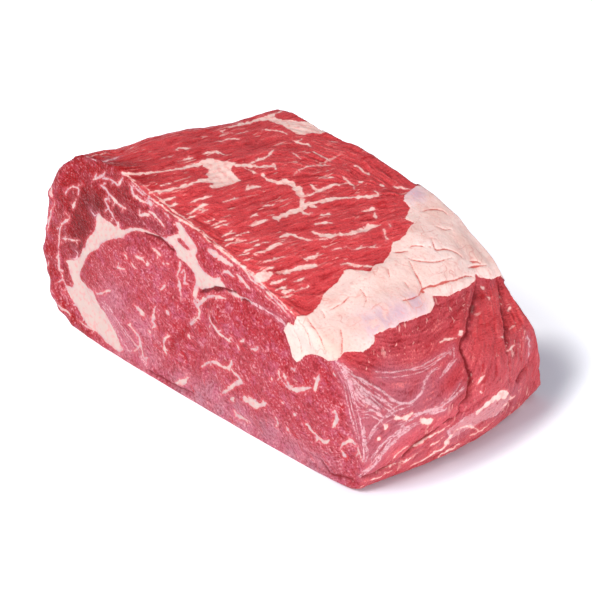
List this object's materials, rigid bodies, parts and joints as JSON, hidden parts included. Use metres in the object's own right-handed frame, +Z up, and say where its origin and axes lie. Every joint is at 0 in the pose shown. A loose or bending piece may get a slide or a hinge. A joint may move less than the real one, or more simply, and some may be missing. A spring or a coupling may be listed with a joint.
{
  "type": "raw ribeye joint",
  "caption": "Thick boneless joint of raw ribeye beef, cut square at both ends, with marbled eyes of muscle on the cuts and a flap of fat over one top edge.",
  "frame": {"origin": "on the flat underside, at the middle of the joint's box seen from above", "axes": "+X across the front cut, from the thick side to the thin side; +Y into the joint, along the muscle; +Z up from the underside"},
  "size_m": [0.2036, 0.1074, 0.0933],
  "materials": {
    "raw_beef": "moist, uncoated raw meat"
  },
  "bodies": {
    "root": {"ribeye": "raw_beef"}
  },
  "joints": []
}
